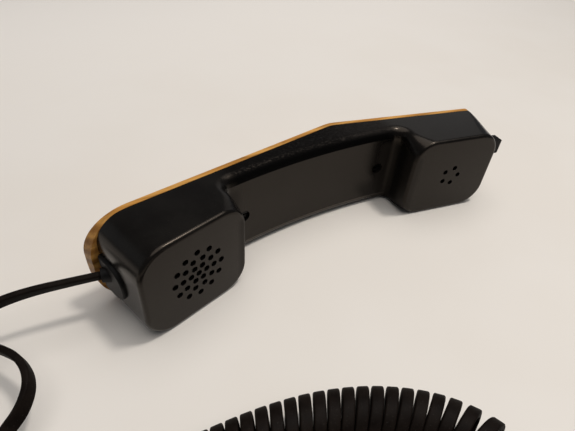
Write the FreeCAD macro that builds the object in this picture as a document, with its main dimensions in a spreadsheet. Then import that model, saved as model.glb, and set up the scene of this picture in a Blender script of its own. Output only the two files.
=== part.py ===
"""Telephone handset with a wooden back, its flat lead and its curly cord, lying on its side.

X runs from the mouthpiece to the earpiece, Y from the two faces to the wooden back, Z up.
The origin is on the side that the handset lies on, below the middle of the grip.
"""
import FreeCAD, Part
import math
import os

import Sketcher

from FreeCAD import Placement, Rotation, Vector

# Driving dimensions in millimetres and degrees.
DIMENSIONS = {
    "pitch": 150.0,            # mouthpiece centre to earpiece centre
    "width": 47.0,             # side to side, the height as it lies
    "grip_origin": 33.0,       # from the line of the face centres back to the origin
    "mouth_tilt": 14.1,        # the mouthpiece face turns inwards by this much
    "ear_tilt": 12.3,
    "mouth_half": 25.9,        # half length of the mouthpiece block
    "ear_half": 26.75,
    "mouth_wall": 29.5,        # depth of the mouthpiece end wall, face to seam
    "ear_wall": 27.0,
    "bend_along": 20.0,        # where the seam bends, from the middle of the pitch
    "bend_depth": 42.5,
    "bend_round": 14.0,
    "root_along": 53.0,        # foot of each block's inner wall
    "root_depth": 23.0,
    "root_round": 4.5,
    "grip_sag": 4.3,           # hollow of the grip between the two feet
    "end_round": 13.0,         # corners of the end walls
    "ear_seam_round": 4.0,     # the earpiece corners run out to this at the seam
    "inner_round": 13.0,       # corners of a block's inner wall, at the face
    "grip_edge": 5.0,
    "face_edge": 1.8,
    "shell_wall": 2.6,
    "channel_side": 4.0,       # side wall of the hollow grip
    "channel_past_root": 9.0,  # the hollow of the grip runs on into the rooms behind the faces
    "channel_end_depth": 26.4,
    "channel_mid_depth": 30.2,
    "seam": 0.3,
    "wood_thick": 6.4,         # at the crown of the wooden back
    "wood_side": 2.4,          # flat sides, before the wood swells into its crown
    "wood_swell": 1.0,         # the higher, the narrower the crown
    "wood_over": 3.4,          # past the end wall of the mouthpiece
    "wood_end_round": 19.0,    # corners of the wood there
    "hole_dia": 2.75,
    "mouth_ring_step": 3.87,   # spacing of the rings of holes
    "ear_ring_radius": 5.0,
    "fit": 0.1,                # clearance of a part that is seated by hand
    "post_dia": 8.4,
    "screw_mouth_along": 41.2, # cover screws, from the middle of the pitch
    "screw_ear_along": 42.4,
    "screw_dia": 3.0,
    "screw_mouth_grip": 4.6,   # shell under a cover screw's head
    "screw_ear_grip": 9.0,
    "screw_mouth_drop": 2.0,   # from the middle of the width
    "screw_ear_drop": 0.0,
    "screw_head_dia": 5.6,
    "screw_head_thick": 1.9,
    "screw_slot": 0.8,
    "sink_dia": 6.4,
    "insert_dia": 5.0,
    "insert_long": 3.6,
    "felt_inset": 2.0,
    "felt_thick": 0.8,
    "cup_side_gap": 1.3,       # between a cup and the side walls
    "can_long": 11.0,
    "can_wall": 0.6,
    "ledge_drop": 2.0,
    "ledge_wide": 1.0,
    "diaphragm_thick": 0.3,
    "electrode_dia": 14.0,
    "electrode_long": 6.8,
    "magnet_dia": 22.0,
    "magnet_bore": 12.0,
    "magnet_long": 5.2,
    "coil_dia": 11.2,
    "coil_bore": 7.0,
    "coil_long": 7.2,
    "gasket_inset": 0.5,
    "gasket_wide": 3.5,
    "gasket_thick": 1.0,
    "cup_wall": 2.3,
    "ring_cover": 5.0,         # how far a ring reaches over its can
    "ring_thick": 1.8,
    "ear_dia": 6.0,            # ears of a ring and the bosses below them
    "ear_offset": 0.9,         # screw of a ring, outside the cup
    "ring_screw_dia": 1.8,
    "ring_screw_reach": 7.5,
    "ring_head_dia": 3.8,
    "ring_head_thick": 1.3,
    "relief_seam_gap": 0.7,    # from the block of the cord exit to the wooden back
    "relief_high": 18.0,
    "relief_drop": 1.6,        # middle of the block, below the middle of the wall
    "relief_deep": 16.0,
    "relief_corner": 8.5,
    "relief_edge": 0.8,
    "relief_out": 1.4,         # how far the block stands out of the wall
    "relief_neck_deep": 11.0,  # neck of the block through the wall, back from its end
    "relief_neck_high": 14.0,
    "relief_flange": 1.45,
    "relief_gap": 0.3,         # from the flange inside to the ring's screw
    "relief_lip": 1.1,
    "snout_dia": 6.0,
    "snout_long": 2.1,
    "snout_back": 5.5,         # middle of the snout, from the block's end at the seam
    "snout_turn": 25.0,        # the snout leads the cord back towards the wooden side
    "tab_depth": 9.0,
    "tab_deep": 6.0,
    "tab_side": 13.3,          # middle of the tab, from the upper side
    "tab_high": 8.4,
    "tab_out": 9.4,
    "tab_round": 2.0,
    "tab_flange": 2.1,
    "tab_lip": 2.4,
    "strip_along": -12.0,
    "strip_long": 24.0,
    "strip_high": 26.0,
    "strip_thick": 2.0,
    "strip_screw_along": 9.4,
    "strip_screw_dia": 2.2,
    "strip_screw_bite": 3.6,
    "terminal_step": 6.0,
    "terminal_dia": 1.8,
    "terminal_head": 3.8,
    "terminal_head_thick": 1.2,
    "core_dia": 1.2,
    "core_step": 2.0,
    "wire_lift": 2.6,          # wires above the floor of the grip's hollow
    "wire_over": 5.5,          # wires behind the clamping rings
    "wire_side": 5.0,
    "wire_turn": 8.0,
    "wire_bow": 4.5,
    "wire_gap": 0.35,          # from the end of a wire to what it serves
    "cord_dia": 4.0,
    "curl_dia": 20.0,          # over the outside of the curls
    "curl_count": 38.0,
    "cord_first_run": 9.5,     # straight out of the snout and into and out of the curls
    "plug_long": 12.0,
    "plug_wide": 7.6,
    "plug_high": 6.2,
    "contact_long": 4.0,
    "contact_thick": 0.4,
    "contact_high": 2.4,
    "contact_step": 1.0,
    "contact_back": 7.0,
    "contact_inset": 0.3,
    "latch_long": 9.6,
    "latch_wide": 3.0,
    "latch_thick": 0.9,
    "latch_rise": 13.0,
    "latch_barrel": 1.3,
    "latch_back": 11.0,
    "latch_gap": 0.3,
    "lug_thick": 0.8,
}

# Rings of holes in the mouthpiece, from the middle outwards.
MOUTH_RINGS = (1, 6, 10, 12)
EAR_HOLES = 5
CORES = 4
CONTACTS = 4
CROWN_STEPS = 8                # points of the wood's crown on each side of its middle

# Route of the flat lead, past its first run out of the snout: along, back, and height over the table.
LEAD_ROUTE = (
    (-136.0, -11.0, 23.8),
    (-149.0, -10.3, 22.4),
    (-163.0, -9.4, 18.8),
    (-177.0, -6.6, 13.4),
    (-188.5, -0.6, 7.4),
    (-196.0, 9.5, 3.4),
    (-196.5, 22.5, 2.4),
    (-188.0, 32.5, 2.4),
    (-176.5, 32.5, 2.4),
    (-168.5, 23.5, 2.6),
    (-164.5, 11.0, 4.0),
    (-160.5, -2.0, 8.0),
    (-155.3, -15.0, 12.6),
    (-148.8, -26.5, 15.8),
    (-143.6, -36.0, 17.4),
    (-142.4, -44.0, 16.6),
    (-146.4, -50.4, 13.0),
    (-153.6, -54.0, 8.6),
    (-160.0, -59.0, 4.8),
    (-161.5, -66.5, 2.7),
    (-157.5, -74.0, 2.2),
)
# Middle line of the curls, seen from above.
CURL_ROUTE = (
    (-153.0, -94.4),
    (-122.0, -95.4),
    (-99.0, -98.2),
    (-80.0, -101.3),
    (-61.7, -105.5),
    (-44.0, -113.5),
    (-29.3, -124.9),
    (-19.1, -143.6),
    (-20.0, -164.0),
    (-32.0, -182.0),
    (-52.0, -193.0),
)
# Route of the tail, past its first run out of the curls, to the plug.
TAIL_ROUTE = (
    (-67.0, -169.0, 2.3),
    (-77.5, -159.0, 2.6),
    (-89.5, -151.0, 3.1),
    (-101.0, -145.0, 3.1),
)
TABLE_CLEARANCE = 0.2

doc = FreeCAD.newDocument("handset")
sheet = doc.addObject("Spreadsheet::Sheet", "dims")
for row, (alias, number) in enumerate(DIMENSIONS.items(), start=1):
    sheet.set("A%d" % row, alias)
    sheet.set("B%d" % row, str(number))
    sheet.setAlias("B%d" % row, alias)
doc.recompute()

nodes = {}


def size(expression):
    return float(sheet.evalExpression(expression))


def bind(item, **expressions):
    for prop, expression in expressions.items():
        item.setExpression(prop, expression)


def at(frame, along="0", across="0", deep="0", turn=None):
    place = Placement(Vector(size(along), size(across), size(deep)), turn or Rotation())
    return frame.multiply(place)


def named(item, label):
    item.Label = label
    nodes[label] = item
    return item


def cylinder(name, diameter, height, place):
    item = doc.addObject("Part::Cylinder", name)
    bind(item, Radius="(%s) / 2" % diameter, Height=height)
    item.Placement = place
    return item


def box(name, length, width, height, place):
    item = doc.addObject("Part::Box", name)
    bind(item, Length=length, Width=width, Height=height)
    item.Placement = place
    return item


def cut(name, base, tool):
    item = doc.addObject("Part::Cut", name)
    item.Base = base
    item.Tool = tool
    return item


def fuse(name, pieces):
    item = doc.addObject("Part::MultiFuse", name)
    item.Shapes = pieces
    item.Refine = True
    return item


def shared(name, items):
    item = doc.addObject("Part::MultiCommon", name)
    item.Shapes = items
    return item


def together(name, pieces):
    item = doc.addObject("Part::Compound", name)
    item.Links = pieces
    return item


def tube(name, outer, bore, height, place):
    wall = cylinder(name + "_wall", outer, height, place)
    hollow = cylinder(name + "_bore", bore, height, place)
    return cut(name, wall, hollow)


def plane(body, role):
    return next(item for item in body.Origin.OriginFeatures if item.Role == role)


def outline(body, name, corners, arc_side=None, arc_radius=None, arc_rise=None):
    """Closed sketch through corners given as cell expressions, with at most one side an arc."""
    sketch = body.newObject("Sketcher::SketchObject", name)
    sketch.AttachmentSupport = (plane(body, "XY_Plane"), [""])
    sketch.MapMode = "FlatFace"
    points = [Vector(size(along), size(back), 0) for along, back in corners]
    ends = []
    for side, start in enumerate(points):
        stop = points[(side + 1) % len(points)]
        if side == arc_side:
            middle = (start + stop) / 2 + Vector(0, size(arc_rise), 0)
            left_turn = (middle - start).cross(stop - middle).z > 0
            first, last = (start, stop) if left_turn else (stop, start)
            sketch.addGeometry(Part.Arc(first, middle, last), False)
            ends.append((1, 2) if left_turn else (2, 1))
        else:
            sketch.addGeometry(Part.LineSegment(start, stop), False)
            ends.append((1, 2))
    for side, (along, back) in enumerate(corners):
        before = side - 1 if side else len(corners) - 1
        sketch.addConstraint(Sketcher.Constraint("Coincident", before, ends[before][1], side, ends[side][0]))
        for kind, axis, expression in (("DistanceX", "x", along), ("DistanceY", "y", back)):
            spot = points[side].x if axis == "x" else points[side].y
            rule = sketch.addConstraint(Sketcher.Constraint(kind, -1, 1, side, ends[side][0], spot))
            sketch.renameConstraint(rule, "%s%d" % (axis, side))
            sketch.setExpression("Constraints.%s%d" % (axis, side), expression)
    if arc_side is not None:
        rule = sketch.addConstraint(Sketcher.Constraint("Radius", arc_side, size(arc_radius)))
        sketch.renameConstraint(rule, "arc")
        sketch.setExpression("Constraints.arc", arc_radius)
    return sketch


def pad(body, sketch, length, middle=True):
    item = body.newObject("PartDesign::Pad", sketch.Name + "_pad")
    item.Profile = sketch
    item.Midplane = middle
    item.setExpression("Length", length)
    sketch.Visibility = False
    doc.recompute()
    return item


def rounded(body, name, base, edges, radius):
    item = body.newObject("PartDesign::Fillet", name)
    item.Base = (base, edges)
    item.setExpression("Radius", radius)
    doc.recompute()
    return item


def edges_where(shape, test):
    return ["Edge%d" % (place + 1) for place, edge in enumerate(shape.Edges) if test(edge)]


def new_body(name, place):
    body = doc.addObject("PartDesign::Body", name)
    body.Placement = place
    return body


# Frames: the whole handset, each face (X along the face, Z into the handset) and the seam's long side.
whole = Placement(Vector(0, -size("grip_origin"), size("width") / 2), Rotation())
inwards = Rotation(Vector(1, 0, 0), -90)
mouth = whole.multiply(Placement(Vector(-size("pitch") / 2, 0, 0),
                                 Rotation(Vector(0, 0, 1), size("mouth_tilt")).multiply(inwards)))
ear = whole.multiply(Placement(Vector(size("pitch") / 2, 0, 0),
                               Rotation(Vector(0, 0, 1), -size("ear_tilt")).multiply(inwards)))

# Corners of the side view, as cell expressions, with the depth measured from the face centres.
mouth_out = ("-dims.pitch / 2 - dims.mouth_half * cos(dims.mouth_tilt)",
             "-dims.mouth_half * sin(dims.mouth_tilt)")
mouth_in = ("-dims.pitch / 2 + dims.mouth_half * cos(dims.mouth_tilt)",
            "dims.mouth_half * sin(dims.mouth_tilt)")
ear_in = ("dims.pitch / 2 - dims.ear_half * cos(dims.ear_tilt)",
          "dims.ear_half * sin(dims.ear_tilt)")
ear_out = ("dims.pitch / 2 + dims.ear_half * cos(dims.ear_tilt)",
           "-dims.ear_half * sin(dims.ear_tilt)")


def mouth_end(depth):
    return (mouth_out[0] + " - (%s) * sin(dims.mouth_tilt)" % depth,
            mouth_out[1] + " + (%s) * cos(dims.mouth_tilt)" % depth)


def ear_end(depth):
    return (ear_out[0] + " + (%s) * sin(dims.ear_tilt)" % depth,
            ear_out[1] + " + (%s) * cos(dims.ear_tilt)" % depth)


def bend(depth):
    return ("dims.bend_along", "dims.bend_depth + (%s)" % depth)


def spot(corner):
    return Vector(size(corner[0]), size(corner[1]), 0)


def seam_depth(along):
    """Depth of the seam at a place along the handset."""
    knee = spot(bend("0"))
    end = spot(mouth_end("dims.mouth_wall")) if along < knee.x else spot(ear_end("dims.ear_wall"))
    return knee.y + (end.y - knee.y) * (along - knee.x) / (end.x - knee.x)


def upright(edge):
    start, stop = edge.Vertexes[0].Point, edge.Vertexes[-1].Point
    return abs(start.x - stop.x) < 1e-6 and abs(start.y - stop.y) < 1e-6


def near(edge, corner):
    middle = edge.CenterOfMass
    place = spot(corner)
    return math.hypot(middle.x - place.x, middle.y - place.y) < 1e-3


def on_side(edge, half):
    flat = all(abs(abs(vertex.Point.z) - half) < 1e-6 for vertex in edge.Vertexes)
    return flat and not upright(edge)


def along_line(edge, start, stop):
    """True when both ends of an edge lie on a line of the side view."""
    first, last = spot(start), spot(stop)
    run = (last - first).normalize()
    for vertex in edge.Vertexes:
        offset = Vector(vertex.Point.x, vertex.Point.y, 0) - first
        if (offset - run * offset.dot(run)).Length > 1e-3:
            return False
    return True


# Front shell, outside: side view padded to the width, then its corners.
root_m = ("-dims.root_along", "dims.root_depth")
root_e = ("dims.root_along", "dims.root_depth")
half_width = size("width") / 2
shell_body = new_body("shell_outside", whole)
shell_sketch = outline(
    shell_body, "shell_side",
    [mouth_out, mouth_in, root_m, root_e, ear_in, ear_out, ear_end("dims.ear_wall"), bend("0"),
     mouth_end("dims.mouth_wall")],
    arc_side=2, arc_radius="(dims.root_along ^ 2 + dims.grip_sag ^ 2) / (2 * dims.grip_sag)",
    arc_rise="dims.grip_sag")
shell_pad = pad(shell_body, shell_sketch, "dims.width")
shell_bent = rounded(shell_body, "shell_bend", shell_pad,
                     edges_where(shell_pad.Shape, lambda e: upright(e) and near(e, bend("0"))),
                     "dims.bend_round")
shell_rooted = rounded(shell_body, "shell_roots", shell_bent,
                       edges_where(shell_bent.Shape,
                                   lambda e: upright(e) and (near(e, root_m) or near(e, root_e))),
                       "dims.root_round")
shell_ended = rounded(shell_body, "shell_mouth_end", shell_rooted,
                      edges_where(shell_rooted.Shape,
                                  lambda e: on_side(e, half_width)
                                  and along_line(e, mouth_out, mouth_end("dims.mouth_wall"))),
                      "dims.end_round")


def on_inner_wall(edge):
    return along_line(edge, mouth_in, root_m) or along_line(edge, root_e, ear_in)


def on_grip_side(edge):
    """Side edges of the grip and of the two inner walls, one unbroken chain on each side."""
    if not on_side(edge, half_width):
        return False
    middle = edge.CenterOfMass
    in_front = middle.y < size("root_depth") + size("grip_sag") + size("grip_edge")
    return on_inner_wall(edge) or (abs(middle.x) < size("root_along") and in_front)


def on_ear_end(edge):
    return on_side(edge, half_width) and along_line(edge, ear_out, ear_end("dims.ear_wall"))


def growing(place, edge, deep_round, face_round):
    """Round of an edge that runs in from a face, with one radius at each of its ends."""
    face_first = edge.Vertexes[0].Point.y < edge.Vertexes[-1].Point.y
    return (place, face_round, deep_round) if face_first else (place, deep_round, face_round)


def side_rounds(shape):
    """Small rounds of the grip and of the earpiece end, which grow to the round of the faces' corners.

    The edges of a side form one chain from the mouthpiece to the earpiece, and their rounds follow its order.
    """
    small = size("grip_edge")
    rounds = []
    for place, edge in enumerate(shape.Edges, start=1):
        if on_ear_end(edge):
            rounds.append(growing(place, edge, size("ear_seam_round"), size("end_round")))
        elif on_grip_side(edge) and along_line(edge, mouth_in, root_m):
            rounds.append((place, size("inner_round"), small))
        elif on_grip_side(edge) and along_line(edge, root_e, ear_in):
            rounds.append((place, small, size("inner_round")))
        elif on_grip_side(edge):
            rounds.append((place, small, small))
    return rounds


def rounded_by(name, base, rounds):
    item = doc.addObject("Part::Fillet", name)
    item.Base = base
    item.Edges = rounds
    doc.recompute()
    return item


def in_whole(shape):
    local = shape.copy()
    local.Placement = whole.inverse().multiply(local.Placement)
    return local


shell_gripped = rounded_by("shell_grip", shell_body, side_rounds(in_whole(shell_body.Shape)))
face_rounds = [(place, size("face_edge"), size("face_edge"))
               for place, edge in enumerate(in_whole(shell_gripped.Shape).Edges, start=1)
               if along_line(edge, mouth_out, mouth_in) or along_line(edge, ear_in, ear_out)]
shell_outside = rounded_by("shell_faces", shell_gripped, face_rounds)


def face_block(name, frame, half_long, half_high, corner, start, depth):
    """Round-cornered block along a face's own axis."""
    body = new_body(name, at(frame, deep=start))
    sketch = outline(body, name + "_outline", [
        ("-(%s)" % half_long, "-(%s)" % half_high), (half_long, "-(%s)" % half_high),
        (half_long, half_high), ("-(%s)" % half_long, half_high)])
    block = pad(body, sketch, depth, middle=False)
    rounded(body, name + "_corners", block,
            edges_where(block.Shape, lambda e: abs(e.Vertexes[0].Point.z - e.Vertexes[-1].Point.z) > 1),
            corner)
    return body


# Hollow of the shell: a room behind each face and a channel along the grip.
mouth_room_half = "dims.mouth_half - dims.shell_wall"
ear_room_half = "dims.ear_half - dims.shell_wall"
room_high = "dims.width / 2 - dims.shell_wall"
mouth_room = face_block("mouth_room", mouth, mouth_room_half, room_high, "dims.end_round - dims.shell_wall",
                        "dims.shell_wall", "dims.mouth_wall + dims.wood_thick")
ear_room = face_block("ear_room", ear, ear_room_half, room_high, "dims.end_round - dims.shell_wall",
                      "dims.shell_wall", "dims.ear_wall + dims.wood_thick")
channel_reach = "dims.root_along + dims.channel_past_root"
channel = new_body("channel", whole)
channel_sketch = outline(channel, "channel_side_view", [
    ("-(%s)" % channel_reach, "dims.channel_end_depth"), ("0", "dims.channel_mid_depth"),
    (channel_reach, "dims.channel_end_depth"),
    (channel_reach, "dims.bend_depth + dims.wood_thick"),
    ("-(%s)" % channel_reach, "dims.bend_depth + dims.wood_thick")])
pad(channel, channel_sketch, "dims.width - 2 * dims.channel_side")
hollow = fuse("hollow", [mouth_room, ear_room, channel])

# Stack of parts behind each face, measured from the face inwards.
can_front = "dims.shell_wall + dims.felt_thick + dims.fit"
can_back = can_front + " + dims.can_long"
cup_top = can_back + " + dims.gasket_thick"
cup_side_room = "dims.width / 2 - dims.shell_wall - dims.cup_side_gap"
cup_end_room = ("min(dims.mouth_half; dims.ear_half) - dims.shell_wall - dims.relief_flange - dims.relief_gap"
                " - dims.ring_head_dia / 2 - dims.ear_offset")
cup_dia = "(2 * min(%s; %s))" % (cup_side_room, cup_end_room)
cup_bore = "(%s - 2 * dims.cup_wall)" % cup_dia
can_dia = "(%s - 6 * dims.fit)" % cup_bore
ear_along = "(%s / 2 + dims.ear_offset)" % cup_dia
sides = (("west", "-" + ear_along), ("east", ear_along))
kept = []
bores = []
for place, frame in (("mouth", mouth), ("ear", ear)):
    cup_depth = "%s - dims.shell_wall / 2" % cup_top
    start = at(frame, deep="dims.shell_wall / 2")
    kept.append(tube(place + "_cup", cup_dia, cup_bore, cup_depth, start))
    for side, along in sides:
        boss = at(frame, along, "0", "dims.shell_wall / 2")
        ear_post = cylinder("%s_boss_%s" % (place, side), "dims.ear_dia", cup_depth, boss)
        clear = cylinder("%s_boss_clear_%s" % (place, side), cup_bore, cup_depth, start)
        kept.append(cut("%s_boss_cut_%s" % (place, side), ear_post, clear))
        bores.append(cylinder("%s_pilot_%s" % (place, side), "dims.ring_screw_dia + dims.fit",
                              "dims.ring_screw_reach + dims.fit",
                              at(frame, along, "0", "%s - dims.ring_screw_reach - dims.fit" % cup_top)))

# Holes in the two faces.
for ring, count in enumerate(MOUTH_RINGS):
    for hole in range(count):
        turn = 360.0 * hole / count
        bores.append(cylinder("mouth_hole_%d_%d" % (ring, hole), "dims.hole_dia", "dims.shell_wall * 2",
                              at(mouth, "%d * dims.mouth_ring_step * cos(%s)" % (ring, turn),
                                 "%d * dims.mouth_ring_step * sin(%s)" % (ring, turn),
                                 "-dims.shell_wall / 2")))
for hole in range(EAR_HOLES):
    turn = 360.0 * hole / EAR_HOLES
    bores.append(cylinder("ear_hole_%d" % hole, "dims.hole_dia", "dims.shell_wall * 2",
                          at(ear, "dims.ear_ring_radius * cos(%s)" % turn,
                             "dims.ear_ring_radius * sin(%s)" % turn, "-dims.shell_wall / 2")))

# Cover screws: posts in the channel, sunk heads in the grip, brass inserts in the wood.
back = Rotation(Vector(1, 0, 0), -90)
screws = []
inserts = []
wood_bores = []
for side, along, end in (("west", size("-screw_mouth_along"), "mouth"),
                         ("east", size("screw_ear_along"), "ear")):
    seam = seam_depth(along)
    grip = "dims.screw_%s_grip" % end
    drop = size("screw_%s_drop" % end)
    seat = seam - size("screw_%s_grip" % end)
    reach = size("insert_dia / 2")
    lean = abs(seam_depth(along + reach) - seam_depth(along - reach)) / 2
    insert_start = seam + lean + 2 * size("fit")

    def here(depth):
        return whole.multiply(Placement(Vector(along, depth, -drop), back))

    kept.append(cylinder("post_" + side, "dims.post_dia", "dims.bend_depth", here(size("root_depth"))))
    bores.append(cylinder("sink_" + side, "dims.sink_dia", "dims.bend_depth",
                          here(seat - size("bend_depth"))))
    bores.append(cylinder("clearance_" + side, "dims.screw_dia + 4 * dims.fit", "dims.bend_depth",
                          here(seat - 2 * size("fit"))))
    head = cylinder("screw_head_" + side, "dims.screw_head_dia", "dims.screw_head_thick",
                    here(seat - size("screw_head_thick")))
    shank = cylinder("screw_shank_" + side, "dims.screw_dia", grip + " + dims.insert_long", here(seat))
    blank = fuse("screw_blank_" + side, [head, shank])
    slot = box("screw_slot_" + side, "dims.screw_head_dia * 2", "dims.screw_slot", "dims.screw_slot",
               at(here(seat - size("screw_head_thick")), "-dims.screw_head_dia", "-dims.screw_slot / 2"))
    screws.append(cut("screw_" + side, blank, slot))
    inserts.append(tube("insert_" + side, "dims.insert_dia", "dims.screw_dia + dims.fit / 2",
                        "dims.insert_long", here(insert_start)))
    wood_bores.append(cylinder("insert_bore_" + side, "dims.insert_dia + dims.fit",
                               "dims.insert_dia + dims.insert_long + dims.seam + 7 * dims.fit",
                               here(seam + lean - size("insert_dia"))))
named(together("cover_screws", screws), "cover_screws")
named(together("wood_inserts", inserts), "wood_inserts")

# Strain relief: a rubber block in a notch of the mouthpiece end wall, with a snout for the cord.
wall_at = "-dims.mouth_half"
relief_back = "(dims.mouth_wall - dims.relief_seam_gap)"
relief_depth = "(%s - dims.snout_back)" % relief_back
relief_low = "dims.relief_drop - dims.relief_high / 2"
relief_front = relief_back + " - dims.relief_deep"
neck_front = relief_back + " - dims.relief_neck_deep"
neck_low = "dims.relief_drop - dims.relief_neck_high / 2"


def on_relief_front(edge):
    """Edges that run out of the wall at the front of the block or of its notch."""
    ends = [mouth.inverse().multVec(vertex.Point) for vertex in edge.Vertexes]
    outward = abs(ends[0].x - ends[-1].x) > size("shell_wall")
    return outward and max(end.z for end in ends) < size(relief_depth)


def front_rounded(name, base, radius):
    doc.recompute()
    chosen = [place for place, edge in enumerate(base.Shape.Edges, start=1) if on_relief_front(edge)]
    return rounded_by(name, base, [(place, radius, radius) for place in chosen])


notch = box("relief_notch", "dims.relief_out + dims.shell_wall", "dims.relief_high + 2 * dims.fit",
            "dims.mouth_wall", at(mouth, wall_at + " - dims.relief_out", relief_low + " - dims.fit",
                                  relief_front + " - dims.fit"))
bores.append(front_rounded("relief_opening", notch, size("relief_corner + fit")))
bores.append(box("relief_gate", "2 * dims.shell_wall", "dims.relief_neck_high + 2 * dims.fit",
                 "dims.mouth_wall", at(mouth, wall_at, neck_low + " - dims.fit", neck_front + " - dims.fit")))
block_raw = box("relief_block", "dims.relief_out + dims.shell_wall - dims.fit", "dims.relief_high",
                "dims.relief_deep", at(mouth, wall_at + " - dims.relief_out", relief_low, relief_front))
block = front_rounded("relief_round", block_raw, size("relief_corner"))
neck = box("relief_neck", "dims.shell_wall + dims.relief_flange", "dims.relief_neck_high",
           "dims.relief_neck_deep", at(mouth, wall_at, neck_low, neck_front))
flange = box("relief_inside", "dims.relief_flange - dims.fit", "dims.relief_high + 2 * dims.relief_lip",
             "dims.relief_neck_deep", at(mouth, wall_at + " + dims.shell_wall + dims.fit",
                                         relief_low + " - dims.relief_lip", neck_front))
doc.recompute()
outer_edges = [(place, size("relief_edge"), size("relief_edge"))
               for place, edge in enumerate(block.Shape.Edges, start=1)
               if all((mouth.inverse().multVec(vertex.Point)).x < -size("mouth_half") - size("fit")
                      for vertex in edge.Vertexes)]
relief_soft = rounded_by("relief_soft", block, outer_edges)
snout_turn = Rotation(Vector(0, 0, 1), 180 + size("mouth_tilt") - size("snout_turn"))
snout_root = at(mouth, wall_at + " + dims.shell_wall / 2", "0", relief_depth).Base
snout_reach = "dims.shell_wall / 2 + dims.relief_out + dims.snout_long"
snout = doc.addObject("Part::Cone", "relief_snout")
bind(snout, Radius1="dims.snout_dia / 2 + dims.relief_lip", Radius2="dims.snout_dia / 2",
     Height=snout_reach)
snout.Placement = Placement(snout_root, snout_turn.multiply(Rotation(Vector(0, 1, 0), 90)))
relief = fuse("relief_whole", [relief_soft, neck, flange, snout])
named(relief, "strain_relief")
exit_way = snout_turn.multVec(Vector(1, 0, 0))
exit_point = snout_root + exit_way * size(snout_reach)

# Hanging tab: a small ear through a slot of the earpiece end wall, held by a flange inside.
tab_low = "dims.tab_side - dims.width / 2 - dims.tab_high / 2"
tab_plate = box("tab_plate", "dims.tab_out + dims.shell_wall + dims.tab_flange", "dims.tab_high",
                "dims.tab_deep",
                at(ear, "dims.ear_half - dims.shell_wall - dims.tab_flange", tab_low,
                   "dims.tab_depth - dims.tab_deep / 2"))
doc.recompute()
tab_edges = [(place, size("tab_round"), size("tab_round"))
             for place, edge in enumerate(tab_plate.Shape.Edges, start=1)
             if all((ear.inverse().multVec(vertex.Point)).x > size("ear_half + tab_out") - 1e-6
                    for vertex in edge.Vertexes)]
tab_soft = rounded_by("tab_soft", tab_plate, tab_edges)
tab_flat = box("tab_flat", "dims.tab_flange - dims.fit", "dims.tab_high + dims.tab_lip",
               "dims.tab_deep + 2 * dims.tab_lip",
               at(ear, "dims.ear_half - dims.shell_wall - dims.tab_flange",
                  tab_low + " - dims.tab_lip", "dims.tab_depth - dims.tab_deep / 2 - dims.tab_lip"))
tab_room = face_block("tab_room", ear, ear_room_half + " - dims.fit", room_high + " - dims.fit",
                      "dims.end_round - dims.shell_wall - dims.fit", "dims.shell_wall", "dims.ear_wall")
tab_foot = shared("tab_foot", [tab_flat, tab_room])
named(fuse("tab_whole", [tab_soft, tab_foot]), "hang_tab")
bores.append(box("tab_slot", "3 * dims.shell_wall", "dims.tab_high + 2 * dims.fit",
                 "dims.tab_deep + 2 * dims.fit",
                 at(ear, "dims.ear_half - 2 * dims.shell_wall", tab_low + " - dims.fit",
                    "dims.tab_depth - dims.tab_deep / 2 - dims.fit")))

hollow_left = cut("hollow_left", hollow, together("kept_inside", kept))
removed = together("removed", bores)
shell_hollowed = cut("shell_hollowed", shell_outside, hollow_left)
named(cut("shell_finished", shell_hollowed, removed), "front_shell")
doc.recompute()

# Wooden back: a crowned section carried along the seam, trimmed by the two end walls.
wood_half = size("width / 2")


def wood_section(place, way):
    """Section across the wood at place: flat at the seam, low sides, swelling to a crowned back."""
    back_way = Vector(0, 0, 1).cross(way)

    def spot_at(across, back_):
        return place + Vector(0, 0, across) + back_way * back_

    def crown_spot(share):
        swell = max(math.cos(share * math.pi / 2), 0) ** size("wood_swell")
        return spot_at(share * wood_half, size("wood_side") + size("wood_thick - wood_side") * swell)

    low, high = spot_at(-wood_half, 0), spot_at(wood_half, 0)
    crown = Part.BSplineCurve()
    crown.interpolate([crown_spot(1 - step / CROWN_STEPS) for step in range(2 * CROWN_STEPS + 1)])
    return Part.Wire([
        Part.LineSegment(low, high).toShape(),
        Part.LineSegment(high, crown_spot(1)).toShape(),
        crown.toShape(),
        Part.LineSegment(crown_spot(-1), low).toShape()])


def trim_block(name, frame, start, wall_side, corner):
    """Long block with the rounded corners of one end wall."""
    block_ = box(name, "2 * dims.pitch", "dims.width", "2 * dims.pitch",
                 at(frame, start, "-dims.width / 2", "-dims.pitch"))
    doc.recompute()
    rounds = []
    for place, edge in enumerate(block_.Shape.Edges, start=1):
        ends = [frame.inverse().multVec(vertex.Point) for vertex in edge.Vertexes]
        if abs(ends[0].z - ends[-1].z) > wall_side and abs(abs(ends[0].x) - wall_side) < size("fit"):
            rounds.append((place, corner, corner))
    return rounded_by(name + "_round", block_, rounds)


wood_line = [whole.multVec(spot(point)) for point in (
    mouth_end("dims.mouth_wall + dims.seam"), bend("dims.seam"), ear_end("dims.ear_wall + dims.seam"))]
mouth_way = (wood_line[1] - wood_line[0]).normalize()
ear_way = (wood_line[2] - wood_line[1]).normalize()
bend_trim = size("bend_round + seam") * math.tan(mouth_way.getAngle(ear_way) / 2)
bend_start = wood_line[1] - mouth_way * bend_trim
bend_stop = wood_line[1] + ear_way * bend_trim
bend_mid = wood_line[1] + (ear_way - mouth_way).normalize() * (
    size("bend_round + seam") / math.cos(mouth_way.getAngle(ear_way) / 2) - size("bend_round + seam"))
wood_start = wood_line[0] - mouth_way * size("wood_thick + width")
wood_stop = wood_line[2] + ear_way * size("wood_thick + width")
wood_path = Part.Wire([Part.LineSegment(wood_start, bend_start).toShape(),
                       Part.Arc(bend_start, bend_mid, bend_stop).toShape(),
                       Part.LineSegment(bend_stop, wood_stop).toShape()])
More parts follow.
